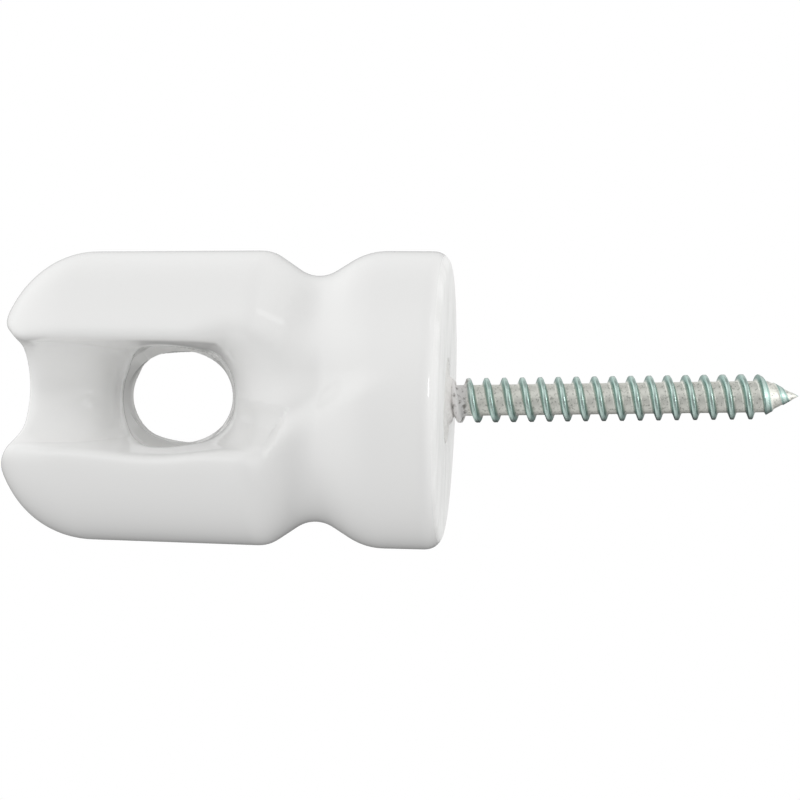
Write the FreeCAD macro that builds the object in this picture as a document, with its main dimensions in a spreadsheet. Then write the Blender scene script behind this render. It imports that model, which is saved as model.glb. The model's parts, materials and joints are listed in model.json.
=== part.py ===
"""Porcelain wireholder with a lag screw grouted into its base.

Units are millimetres. The origin is the centre of the seating face. +X runs out along
the screw and the head points along -X. +Z is up, and the wire hole runs along Y. The
screw leans a little from the body's axis, as a screw set by hand in grout does.
"""
import FreeCAD, Part
import math
import os

import Sketcher

DIMENSIONS = {
    # Round body: distances from the seating face towards the head, and radii there.
    "base_radius": 21.2,
    "base_edge_fillet": 2.25,
    "shoulder_at": 11.2,
    "shoulder_fillet": 9.2,
    "neck_at": 18.6,
    "neck_radius": 16.65,
    "neck_fillet": 5.1,
    "head_at": 25.3,
    "head_radius": 21.2,
    "head_fillet": 4.1,
    "body_length": 63.1,
    "end_radius": 20.8,
    "end_fillet": 12.3,
    # Wire channels on both sides of the head, with the web between them.
    "channel_half_width": 7.15,
    "channel_floor_y": 3.1,
    "bar_end_at": 58.6,
    "bar_half_depth": 9.2,
    "bar_edge_fillet": 2.0,
    "bar_foot_at": 46.9,
    "rise_foot_at": 29.9,
    "rise_top_at": 16.8,
    "rise_top_y": 17.6,
    "rise_out_at": 11.0,
    "rise_out_y": 23.5,
    # Notch between the ear tips, and the oval wire hole through the web.
    "notch_half_width": 7.0,
    "notch_flare_at": 59.9,
    "tip_half_gap": 9.3,
    "hole_at": 38.7,
    "hole_half_height": 6.6,
    "hole_half_length": 7.8,
    # Blind socket in the base, and the low collar of grout outside it.
    "socket_radius": 6.0,
    "socket_depth": 23.0,
    "collar_height": 0.95,
    "collar_foot_radius": 4.6,
    "collar_top_radius": 3.0,
    # Quarter-inch lag screw with ten threads per inch.
    "screw_length_out": 49.1,
    "screw_length_in": 20.4,
    "root_radius": 2.195,
    "crest_radius": 3.175,
    "thread_pitch": 2.54,
    "thread_foot_width": 1.4,
    "thread_crest_width": 0.36,
    "thread_sink": 0.15,
    "thread_start_at": 1.68,
    "thread_turns": 18.0,
    "root_cone_length": 4.3,
    "crest_cone_length": 5.6,
    "shank_radius": 2.9,
    "shank_end_at": 0.2,
    "head_across_flats": 8.0,
    "head_height": 3.2,
    "screw_lean": 1.6,
    # How far a cutting profile runs outside the body.
    "margin": 10.0,
}


class Size:
    """A number with the sheet expression that it comes from."""

    def __init__(self, value, text):
        self.value = value
        self.text = text

    def __neg__(self):
        return Size(-self.value, f"-({self.text})")

    def __add__(self, other):
        return Size(self.value + other.value, f"({self.text} + {other.text})")

    def __sub__(self, other):
        return Size(self.value - other.value, f"({self.text} - {other.text})")

    def __mul__(self, factor):
        return Size(self.value * factor, f"({self.text}) * {factor}")


ZERO = Size(0.0, "0")


def size(alias):
    """Return a driving dimension, tied to its cell."""
    return Size(DIMENSIONS[alias], f"sizes.{alias}")


def make_sheet(doc):
    """Write the driving dimensions to a spreadsheet, each with an alias."""
    sheet = doc.addObject("Spreadsheet::Sheet", "sizes")
    for row, (alias, value) in enumerate(DIMENSIONS.items(), start=1):
        sheet.set(f"A{row}", alias)
        sheet.set(f"B{row}", str(value))
        sheet.setAlias(f"B{row}", alias)
    doc.recompute()
    return sheet


def new_sketch(body, name, role):
    """Add a sketch to a body, attached to the origin plane with this role."""
    plane = [feature for feature in body.Origin.OriginFeatures if feature.Role == role][0]
    sketch = body.newObject("Sketcher::SketchObject", name)
    sketch.AttachmentSupport = [(plane, "")]
    sketch.MapMode = "FlatFace"
    return sketch


def pin_point(sketch, line, end, point):
    """Hold one end of a sketch line at a pair of sizes from the sketch's origin."""
    axes = (("DistanceX", -2), ("DistanceY", -1))
    for (kind, axis), distance in zip(axes, point):
        if distance is ZERO:
            sketch.addConstraint(Sketcher.Constraint("PointOnObject", line, end, axis))
            continue
        number = sketch.addConstraint(Sketcher.Constraint(kind, -1, 1, line, end, distance.value))
        sketch.setExpression(f"Constraints[{number}]", distance.text)


def vector(point):
    """Return a sketch point as a FreeCAD vector."""
    return FreeCAD.Vector(point[0].value, point[1].value, 0)


def draw_polygon(sketch, points):
    """Draw a closed polygon whose corners are pairs of sizes."""
    count = len(points)
    for i in range(count):
        sketch.addGeometry(Part.LineSegment(vector(points[i]), vector(points[(i + 1) % count])), False)
    for i in range(count):
        sketch.addConstraint(Sketcher.Constraint("Coincident", i, 2, (i + 1) % count, 1))
    for i, point in enumerate(points):
        pin_point(sketch, i, 1, point)


def revolve(body, points, name, kind="PartDesign::Revolution"):
    """Turn a half profile drawn in the XZ plane once round the X axis."""
    sketch = new_sketch(body, name + "_profile", "XZ_Plane")
    draw_polygon(sketch, points)
    turn = body.newObject(kind, name)
    turn.Profile = sketch
    turn.ReferenceAxis = (sketch, ["H_Axis"])
    turn.Angle = 360
    body.Document.recompute()
    return turn


def cut_both_ways(body, sketch, name, half_width=None):
    """Pocket a sketch on both sides of its plane, through everything or to a width."""
    before = body.Shape.Volume
    pocket = body.newObject("PartDesign::Pocket", name)
    pocket.Profile = sketch
    pocket.Midplane = True
    if half_width is None:
        pocket.Type = "ThroughAll"
    else:
        pocket.setExpression("Length", (half_width * 2).text)
    body.Document.recompute()
    if body.Shape.Volume >= before:
        raise RuntimeError(f"{name} removed nothing")
    return pocket


def circles_at(shape, x, radius):
    """Name the circular edges of a shape centred at x on the X axis."""
    names = []
    for number, edge in enumerate(shape.Edges, start=1):
        curve = edge.Curve
        if isinstance(curve, Part.Circle) and abs(curve.Radius - radius) < 1e-3:
            if abs(curve.Center.x - x) < 1e-3:
                names.append(f"Edge{number}")
    return names


def lines_along_z(shape, x, y):
    """Name the straight edges of a shape that run along Z at (x, +y) and (x, -y)."""
    names = []
    for number, edge in enumerate(shape.Edges, start=1):
        box = edge.BoundBox
        if box.XLength < 1e-4 and box.YLength < 1e-4:
            if abs(box.XMin - x) < 1e-3 and abs(abs(box.YMin) - y) < 1e-3:
                names.append(f"Edge{number}")
    return names


def round_off(body, base, names, radius, name):
    """Fillet the named edges of a feature, and return the new feature."""
    if not names:
        raise RuntimeError(f"{name} has no edges")
    fillet = body.newObject("PartDesign::Fillet", name)
    fillet.Base = (base, names)
    fillet.setExpression("Radius", radius.text)
    body.Document.recompute()
    return fillet


def turn_round_body(body):
    """Turn the base, waist and head, and round their edges."""
    points = [
        (ZERO, ZERO),
        (ZERO, size("base_radius")),
        (-size("shoulder_at"), size("base_radius")),
        (-size("neck_at"), size("neck_radius")),
        (-size("head_at"), size("head_radius")),
        (-size("body_length"), size("end_radius")),
        (-size("body_length"), ZERO),
    ]
    feature = revolve(body, points, "turned_body")
    corners = [
        (ZERO, "base_radius", "base_edge_fillet"),
        (-size("shoulder_at"), "base_radius", "shoulder_fillet"),
        (-size("neck_at"), "neck_radius", "neck_fillet"),
        (-size("head_at"), "head_radius", "head_fillet"),
        (-size("body_length"), "end_radius", "end_fillet"),
    ]
    for place, radius, fillet in corners:
        names = circles_at(feature.Shape, place.value, size(radius).value)
        feature = round_off(body, feature, names, size(fillet), "rounded_" + fillet)
    return feature


def crown_middle(level_end, foot):
    """Return a point half way along the arc that leaves level_end level and ends at foot."""
    run = foot.x - level_end.x
    drop = foot.y - level_end.y
    radius = (run * run + drop * drop) / (2 * abs(drop))
    centre = level_end + FreeCAD.Vector(0, radius if drop > 0 else -radius, 0)
    towards_middle = level_end + foot - centre * 2
    return centre + towards_middle.normalize() * radius


def add_crown(sketch, level_end, foot):
    """Draw a round crown that starts level at one point and comes down to the web."""
    outer, inner = vector(level_end), vector(foot)
    crown = sketch.addGeometry(Part.Arc(outer, crown_middle(outer, inner), inner), False)
    starts_outside = (sketch.getPoint(crown, 1) - outer).Length < 1e-6
    outer_end, inner_end = (1, 2) if starts_outside else (2, 1)
    sketch.addConstraint(Sketcher.Constraint("Vertical", crown, 3, crown, outer_end))
    return crown, outer_end, inner_end


def channel_plan(sketch, side):
    """Draw one wire channel in plan: crowned bar, flat web, crowned rise to the neck."""
    def across(distance):
        return distance if side > 0 else -distance

    beyond = size("base_radius") + size("margin")
    past_end = -(size("body_length") + size("margin"))
    bar_end = (-size("bar_end_at"), across(size("bar_half_depth")))
    bar_foot = (-size("bar_foot_at"), across(size("channel_floor_y")))
    rise_foot = (-size("rise_foot_at"), across(size("channel_floor_y")))
    rise_top = (-size("rise_top_at"), across(size("rise_top_y")))
    outside = [
        rise_top,
        (-size("rise_out_at"), across(size("rise_out_y"))),
        (-size("rise_out_at"), across(beyond)),
        (past_end, across(beyond)),
        (past_end, across(size("bar_half_depth"))),
        bar_end,
    ]
    for start, end in zip(outside, outside[1:]):
        sketch.addGeometry(Part.LineSegment(vector(start), vector(end)), False)
    last = len(outside) - 2
    for line in range(last):
        sketch.addConstraint(Sketcher.Constraint("Coincident", line, 2, line + 1, 1))
    web = sketch.addGeometry(Part.LineSegment(vector(bar_foot), vector(rise_foot)), False)
    bar, bar_outer, bar_inner = add_crown(sketch, bar_end, bar_foot)
    rise, rise_outer, rise_inner = add_crown(sketch, rise_top, rise_foot)
    sketch.addConstraint(Sketcher.Constraint("Coincident", last, 2, bar, bar_outer))
    sketch.addConstraint(Sketcher.Constraint("Coincident", web, 1, bar, bar_inner))
    sketch.addConstraint(Sketcher.Constraint("Coincident", web, 2, rise, rise_inner))
    sketch.addConstraint(Sketcher.Constraint("Coincident", 0, 1, rise, rise_outer))
    for line, point in enumerate(outside[:-1]):
        pin_point(sketch, line, 1, point)
    pin_point(sketch, last, 2, bar_end)
    pin_point(sketch, web, 1, bar_foot)
    pin_point(sketch, web, 2, rise_foot)


def cut_channels(body):
    """Cut the two wire channels along the sides of the head."""
    for side, name in ((-1, "front_channel"), (1, "rear_channel")):
        sketch = new_sketch(body, name + "_plan", "XY_Plane")
        channel_plan(sketch, side)
        feature = cut_both_ways(body, sketch, name, size("channel_half_width"))
    return feature


def cut_end_notch(body):
    """Open the head's end between the two ears, flaring towards their tips."""
    past_end = -(size("body_length") + size("margin"))
    gap, tip = size("notch_half_width"), size("tip_half_gap")
    grow = (tip - gap).value / (size("body_length") - size("notch_flare_at")).value
    wide = tip + size("margin") * round(grow, 4)
    points = [
        (-size("bar_end_at"), gap),
        (-size("notch_flare_at"), gap),
        (past_end, wide),
        (past_end, -wide),
        (-size("notch_flare_at"), -gap),
        (-size("bar_end_at"), -gap),
    ]
    sketch = new_sketch(body, "end_notch_outline", "XZ_Plane")
    draw_polygon(sketch, points)
    return cut_both_ways(body, sketch, "end_notch")


def cut_wire_hole(body):
    """Cut the oval hole through the web, wider along the body than across it."""
    sketch = new_sketch(body, "wire_hole_outline", "XZ_Plane")
    radius = size("hole_half_height")
    middle = -size("hole_at")
    half_straight = size("hole_half_length") - radius
    normal = FreeCAD.Vector(0, 0, 1)
    left = (middle - half_straight, ZERO)
    right = (middle + half_straight, ZERO)
    upright = math.pi / 2
    ends = ((left, upright, 3 * upright), (right, -upright, upright))
    for centre, start, stop in ends:
        circle = Part.Circle(vector(centre), normal, radius.value)
        sketch.addGeometry(Part.ArcOfCircle(circle, start, stop), False)
    for height, (a, b) in ((radius.value, (left, right)), (-radius.value, (left, right))):
        lift = FreeCAD.Vector(0, height, 0)
        sketch.addGeometry(Part.LineSegment(vector(a) + lift, vector(b) + lift), False)
    joints = ((0, 1, 2, 1), (0, 2, 3, 1), (1, 2, 2, 2), (1, 1, 3, 2))
    for arc, arc_end, line, line_end in joints:
        sketch.addConstraint(Sketcher.Constraint("Tangent", arc, arc_end, line, line_end))
    for arc, centre in enumerate((left, right)):
        pin_point(sketch, arc, 3, centre)
    number = sketch.addConstraint(Sketcher.Constraint("Radius", 0, radius.value))
    sketch.setExpression(f"Constraints[{number}]", radius.text)
    return cut_both_ways(body, sketch, "wire_hole")


def cut_socket(body):
    """Bore the blind socket for the screw and its grout into the base."""
    points = [
        (ZERO, ZERO),
        (ZERO, size("socket_radius")),
        (-size("socket_depth"), size("socket_radius")),
        (-size("socket_depth"), ZERO),
    ]
    return revolve(body, points, "socket", "PartDesign::Groove")


def make_porcelain(doc):
    """Build the one-piece porcelain body."""
    body = doc.addObject("PartDesign::Body", "porcelain_body")
    turn_round_body(body)
    cut_channels(body)
    feature = cut_end_notch(body)
    place, depth = -size("bar_end_at").value, size("bar_half_depth").value
    names = lines_along_z(feature.Shape, place, depth)
    round_off(body, feature, names, size("bar_edge_fillet"), "rounded_bar_edges")
    cut_wire_hole(body)
    cut_socket(body)
    return body


def make_screw(doc):
    """Build the lag screw: square head, plain shank, root, thread and gimlet point."""
    body = doc.addObject("PartDesign::Body", "mounting_screw")
    tip = size("screw_length_out")
    points = [
        (-size("screw_length_in"), ZERO),
        (-size("screw_length_in"), size("shank_radius")),
        (size("shank_end_at"), size("shank_radius")),
        (size("shank_end_at"), size("root_radius")),
        (tip - size("root_cone_length"), size("root_radius")),
        (tip, ZERO),
    ]
    revolve(body, points, "root_and_shank")
    sketch = new_sketch(body, "thread_profile", "XZ_Plane")
    foot = -(size("root_radius") - size("thread_sink"))
    half_foot = size("thread_foot_width") * 0.5
    half_crest = size("thread_crest_width") * 0.5
    start = size("thread_start_at")
    draw_polygon(sketch, [
        (start - half_foot, foot),
        (start + half_foot, foot),
        (start + half_crest, -size("crest_radius")),
        (start - half_crest, -size("crest_radius")),
    ])
    thread = body.newObject("PartDesign::AdditiveHelix", "thread")
    thread.Profile = sketch
    thread.ReferenceAxis = (sketch, ["H_Axis"])
    thread.Mode = 1
    thread.setExpression("Pitch", "sizes.thread_pitch")
    thread.setExpression("Turns", "sizes.thread_turns")
    doc.recompute()
    outside = size("crest_radius") + size("margin")
    taper = (tip - size("crest_cone_length"), size("crest_radius"))
    revolve(body, [
        taper,
        (tip, ZERO),
        (tip + size("margin"), ZERO),
        (tip + size("margin"), outside),
        (tip - size("crest_cone_length"), outside),
    ], "crest_taper", "PartDesign::Groove")
    half_flat = size("head_across_flats") * 0.5
    sketch = new_sketch(body, "head_square", "YZ_Plane")
    sketch.AttachmentOffset = FreeCAD.Placement(
        FreeCAD.Vector(0, 0, -size("screw_length_in").value), FreeCAD.Rotation())
    sketch.setExpression("AttachmentOffset.Base.z", (-size("screw_length_in")).text)
    draw_polygon(sketch, [
        (-half_flat, -half_flat),
        (half_flat, -half_flat),
        (half_flat, half_flat),
        (-half_flat, half_flat),
    ])
    head = body.newObject("PartDesign::Pad", "square_head")
    head.Profile = sketch
    head.setExpression("Length", size("head_height").text)
    body.Placement = FreeCAD.Placement(
        FreeCAD.Vector(), FreeCAD.Rotation(FreeCAD.Vector(0, -1, 0), size("screw_lean").value))
    body.setExpression("Placement.Rotation.Angle", "sizes.screw_lean")
    doc.recompute()
    return body


def bind(thing, **bindings):
    """Tie properties of a document object to sheet expressions."""
    for name, distance in bindings.items():
        thing.setExpression(name, distance.text)


def make_grout(doc, screw):
    """Fill the socket round the screw, with a low collar outside the seating face."""
    fill = doc.addObject("Part::Cylinder", "socket_fill")
    bind(fill, Radius=size("socket_radius"), Height=size("socket_depth"))
    along_x = FreeCAD.Rotation(FreeCAD.Vector(0, 1, 0), 90)
    fill.Placement = FreeCAD.Placement(FreeCAD.Vector(-size("socket_depth").value, 0, 0), along_x)
    fill.setExpression("Placement.Base.x", (-size("socket_depth")).text)
    collar = doc.addObject("Part::Cone", "collar")
    bind(collar, Radius1=size("collar_foot_radius"), Radius2=size("collar_top_radius"),
         Height=size("collar_height"))
    collar.Placement = FreeCAD.Placement(FreeCAD.Vector(), along_x)
    whole = doc.addObject("Part::Fuse", "grout_blank")
    whole.Base = fill
    whole.Tool = collar
    grout = doc.addObject("Part::Cut", "cement_fill")
    grout.Base = whole
    grout.Tool = screw
    doc.recompute()
    return grout


def main():
    """Build the document and write one STEP file per piece."""
    doc = FreeCAD.newDocument("wireholder")
    make_sheet(doc)
    porcelain = make_porcelain(doc)
    screw = make_screw(doc)
    grout = make_grout(doc, screw)
    for thing in doc.Objects:
        if "Invalid" in thing.State or "Error" in thing.State:
            raise RuntimeError(f"{thing.Name} failed: {thing.State}")
    os.makedirs("parts", exist_ok=True)
    for piece in (porcelain, screw, grout):
        shape = piece.Shape
        if shape.isNull() or not shape.isValid() or len(shape.Solids) != 1:
            raise RuntimeError(f"{piece.Name} is not one valid solid")
        print(f"{piece.Label}: {shape.Volume:.1f} mm3, {len(shape.Faces)} faces")
        shape.exportStep(f"parts/{piece.Label}.step")


main()
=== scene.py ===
"""Looks of a porcelain wireholder with a lag screw grouted into its base.

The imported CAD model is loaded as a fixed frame, and its three pieces are dressed:
the glazed porcelain body, the zinc-plated lag screw and the cement grout. Lengths in
the classes are millimetres in the row frame: +X out along the screw, +Z up, and the
origin at the centre of the seating face. Meshes are written in metres.
"""

import json
import logging
import math
from dataclasses import dataclass, field
from typing import Any, Callable, Sequence

import bpy
import numpy as np
from mathutils import Matrix, Vector

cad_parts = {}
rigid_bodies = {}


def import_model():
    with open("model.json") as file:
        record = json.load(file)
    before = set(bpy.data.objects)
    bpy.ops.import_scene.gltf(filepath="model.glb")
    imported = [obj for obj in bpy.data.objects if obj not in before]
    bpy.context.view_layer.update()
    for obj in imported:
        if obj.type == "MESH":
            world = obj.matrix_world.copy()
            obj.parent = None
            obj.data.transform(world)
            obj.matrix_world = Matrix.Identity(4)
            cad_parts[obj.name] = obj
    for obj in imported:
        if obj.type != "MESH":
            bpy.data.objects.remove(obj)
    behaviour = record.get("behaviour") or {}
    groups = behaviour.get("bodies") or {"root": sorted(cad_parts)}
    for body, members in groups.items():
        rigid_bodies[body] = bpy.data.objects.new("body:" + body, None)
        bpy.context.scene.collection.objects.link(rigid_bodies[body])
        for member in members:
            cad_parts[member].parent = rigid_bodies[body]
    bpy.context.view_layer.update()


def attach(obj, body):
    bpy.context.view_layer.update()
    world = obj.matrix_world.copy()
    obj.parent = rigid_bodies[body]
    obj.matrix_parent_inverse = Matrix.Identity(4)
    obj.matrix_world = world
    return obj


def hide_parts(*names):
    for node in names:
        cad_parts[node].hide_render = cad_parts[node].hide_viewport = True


LOG = logging.getLogger("wireholder")
MM = 0.001
Array = np.ndarray
Field = Callable[[Array], Array]


# ---------------------------------------------------------------- colour and nodes

def linear(hex_colour: str) -> tuple[float, float, float, float]:
    """Turn an sRGB hex colour into linear RGBA.

    Args:
        hex_colour: Six hex digits, with or without a leading #.

    Returns:
        The linear colour, with alpha 1.
    """
    digits = hex_colour.lstrip("#")
    channels = [int(digits[i:i + 2], 16) / 255 for i in (0, 2, 4)]
    red, green, blue = (c / 12.92 if c <= 0.04045 else ((c + 0.055) / 1.055) ** 2.4 for c in channels)
    return red, green, blue, 1.0


def add_node(tree: bpy.types.NodeTree, kind: str, inputs: dict[Any, Any] | None = None,
             **settings: Any) -> bpy.types.Node:
    """Add a node with its settings, and set or link its inputs.

    Args:
        tree: The tree that gets the node.
        kind: The node's bl_idname.
        inputs: Input name or index to a value, or to the output socket to link.
        **settings: Properties of the node itself.

    Returns:
        The new node.
    """
    node = tree.nodes.new(kind)
    for name, value in settings.items():
        setattr(node, name, value)
    for key, value in (inputs or {}).items():
        if isinstance(value, bpy.types.NodeSocket):
            tree.links.new(value, node.inputs[key])
        else:
            node.inputs[key].default_value = value
    return node


# ---------------------------------------------------------------- distance fields

def smooth_step(low: float, high: float, value: Array) -> Array:
    """Rise smoothly from 0 to 1; with low above high, fall instead.

    Args:
        low: Where the result is still 0.
        high: Where it reaches 1.
        value: Where to read it.

    Returns:
        One number from 0 to 1 for each value.
    """
    t = np.clip((value - low) / (high - low), 0.0, 1.0)
    return t * t * (3.0 - 2.0 * t)


def soft_max(a: Array, b: Array, radius: Array | float) -> Array:
    """Intersect two fields, with the edge rounded as melted glaze rounds it.

    Args:
        a: Distances to the first shape.
        b: Distances to the second shape.
        radius: Radius of the rounding on a square edge.

    Returns:
        Distances to what both shapes hold.
    """
    reach = 1.757 * radius
    overlap = np.maximum(reach - np.abs(a - b), 0.0) / reach
    return np.maximum(a, b) + overlap ** 3 * reach / 6.0


def round_max(a: Array, b: Array, radius: Array | float) -> Array:
    """Intersect two fields, with the edge rounded to an arc.

    Args:
        a: Distances to the first shape.
        b: Distances to the second shape.
        radius: Radius of the arc on a square edge.

    Returns:
        Distances to what both shapes hold.
    """
    outside = np.hypot(np.maximum(a + radius, 0.0), np.maximum(b + radius, 0.0))
    return np.minimum(np.maximum(a, b), -radius) + outside


def lumps(points: Array, size: float, seed: int, waves: int = 9) -> Array:
    """Return smooth uneven waves between about -1 and 1.

    Args:
        points: Rows of points.
        size: Typical width of a lump.
        seed: Which pattern of waves.
        waves: How many waves are laid over each other.

    Returns:
        One height for each point.
    """
    draw = np.random.default_rng(seed)
    directions = draw.normal(size=(waves, 3))
    directions /= np.linalg.norm(directions, axis=1, keepdims=True)
    turns = draw.uniform(0.0, math.tau, waves)
    rates = math.pi / size * draw.uniform(0.6, 1.4, waves)
    return np.sin((points @ directions.T) * rates + turns).sum(axis=1) / math.sqrt(waves)


@dataclass(frozen=True)
class Corner:
    """One corner of an outline: where it is, and the radius of its rounding."""

    along: float
    out: float
    radius: float = 0.0


def rounded_outline(corners: Sequence[Corner], steps: int = 24) -> Array:
    """Join corners with straight runs and tangent arcs.

    Args:
        corners: The outline's corners in order; the first and last stay sharp.
        steps: Points along each arc.

    Returns:
        The outline's points, one row each.
    """
    points = [np.array((corners[0].along, corners[0].out))]
    for before, corner, after in zip(corners, corners[1:], corners[2:]):
        here = np.array((corner.along, corner.out))
        back = np.array((before.along, before.out)) - here
        ahead = np.array((after.along, after.out)) - here
        back, ahead = back / np.hypot(*back), ahead / np.hypot(*ahead)
        half_angle = math.acos(float(np.clip(back @ ahead, -1, 1))) / 2
        bisector = (back + ahead) / np.hypot(*(back + ahead))
        centre = here + bisector * corner.radius / math.sin(half_angle)
        run = corner.radius / math.tan(half_angle)
        first, last = here + back * run - centre, here + ahead * run - centre
        start = math.atan2(first[1], first[0])
        turn = (math.atan2(last[1], last[0]) - start + math.pi) % (2 * math.pi) - math.pi
        for t in np.linspace(0.0, 1.0, steps):
            angle = start + turn * t
            points.append(centre + corner.radius * np.array((math.cos(angle), math.sin(angle))))
    points.append(np.array((corners[-1].along, corners[-1].out)))
    return np.array(points)


def crown_points(level: tuple[float, float], foot: tuple[float, float], steps: int = 40) -> Array:
    """Run from a level top down to a foot along one arc.

    Args:
        level: Where the arc starts, running level.
        foot: Where the arc ends.
        steps: Points along the arc.

    Returns:
        The arc's points, one row each, from the top down.
    """
    run, drop = foot[0] - level[0], level[1] - foot[1]
    radius = (run * run + drop * drop) / (2 * drop)
    angles = np.linspace(0.0, math.acos(1.0 - drop / radius), steps)
    along = level[0] + np.sign(run) * radius * np.sin(angles)
    return np.stack([along, level[1] - radius * (1 - np.cos(angles))], axis=1)


def within(loop: Array, u: Array, v: Array) -> Array:
    """Say which points lie inside a closed loop, by counting crossings.

    Args:
        loop: The loop's corners, one row each.
        u: The points' first coordinates.
        v: Their second coordinates.

    Returns:
        True for each point inside.
    """
    inside = np.zeros(u.shape, bool)
    for (u0, v0), (u1, v1) in zip(loop, np.roll(loop, -1, axis=0)):
        if v0 != v1:
            crosses = (v0 > v) != (v1 > v)
            inside ^= crosses & (u < u0 + (v - v0) * (u1 - u0) / (v1 - v0))
    return inside


class DistanceTable:
    """Signed distances to an open outline, tabled on a fine grid and slightly blurred."""

    LOW, HIGH = (-67.0, 0.0), (4.0, 27.0)

    def __init__(self, outline: Array, loop: Array, blur: float, step: float = 0.1) -> None:
        """Fill the table.

        Args:
            outline: Points along the outline.
            loop: The closed loop whose inside is negative; the outline is part of it.
            blur: Width of the blur that melts the outline's corners.
            step: Spacing of the table.
        """
        self.step = step
        counts = [int(round((b - a) / step)) + 1 for a, b in zip(self.LOW, self.HIGH)]
        axes = [a + step * np.arange(n) for a, n in zip(self.LOW, counts)]
        u, v = np.meshgrid(*axes, indexing="ij")
        nearest = np.full(u.shape, 1e9)
        for start, end in zip(outline, outline[1:]):
            run = end - start
            length2 = float(run @ run)
            if length2 > 1e-12:
                t = np.clip(((u - start[0]) * run[0] + (v - start[1]) * run[1]) / length2, 0.0, 1.0)
                squared = (u - start[0] - run[0] * t) ** 2 + (v - start[1] - run[1] * t) ** 2
                np.minimum(nearest, squared, out=nearest)
        signed = np.sqrt(nearest) * np.where(within(loop, u, v), -1.0, 1.0)
        self.values = self._blurred(signed, blur / step)

    @staticmethod
    def _blurred(table: Array, width: float) -> Array:
        """Blur a table evenly.

        Args:
            table: The table.
            width: Width of the Gaussian, in cells.

        Returns:
            The blurred table, of the same size.
        """
        reach = int(math.ceil(3 * width))
        offsets = np.arange(-reach, reach + 1)
        weights = np.exp(-0.5 * (offsets / width) ** 2)
        weights /= weights.sum()
        for axis in (0, 1):
            pads = [(reach, reach) if axis == i else (0, 0) for i in (0, 1)]
            padded = np.pad(table, pads, mode="reflect", reflect_type="odd")
            table = sum(w * np.take(padded, np.arange(table.shape[axis]) + i, axis=axis)
                        for i, w in enumerate(weights))
        return table

    def at(self, u: Array, v: Array) -> Array:
        """Read the table between its grid points.

        Args:
            u: First coordinates.
            v: Second coordinates.

        Returns:
            The signed distance at each point.
        """
        spots = []
        for value, low, count in zip((u, v), self.LOW, self.values.shape):
            place = np.clip((value - low) / self.step, 0.0, count - 1.001)
            cell = place.astype(np.int64)
            spots.append((cell, place - cell))
        (i, s), (j, t) = spots
        near = self.values[i, j] * (1 - t) + self.values[i, j + 1] * t
        far = self.values[i + 1, j] * (1 - t) + self.values[i + 1, j + 1] * t
        return near * (1 - s) + far * s


# ---------------------------------------------------------------- field to mesh

def gradient(shape: Field, points: Array, step: float = 0.03) -> Array:
    """Measure a field's slope.

    Args:
        shape: Signed distance for rows of points.
        points: Where to measure, one row each.
        step: How far to look each way.

    Returns:
        The slope at each point, one row each.
    """
    slopes = [(shape(points + offset) - shape(points - offset)) / (2 * step) for offset in step * np.eye(3)]
    return np.stack(slopes, axis=1)


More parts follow.
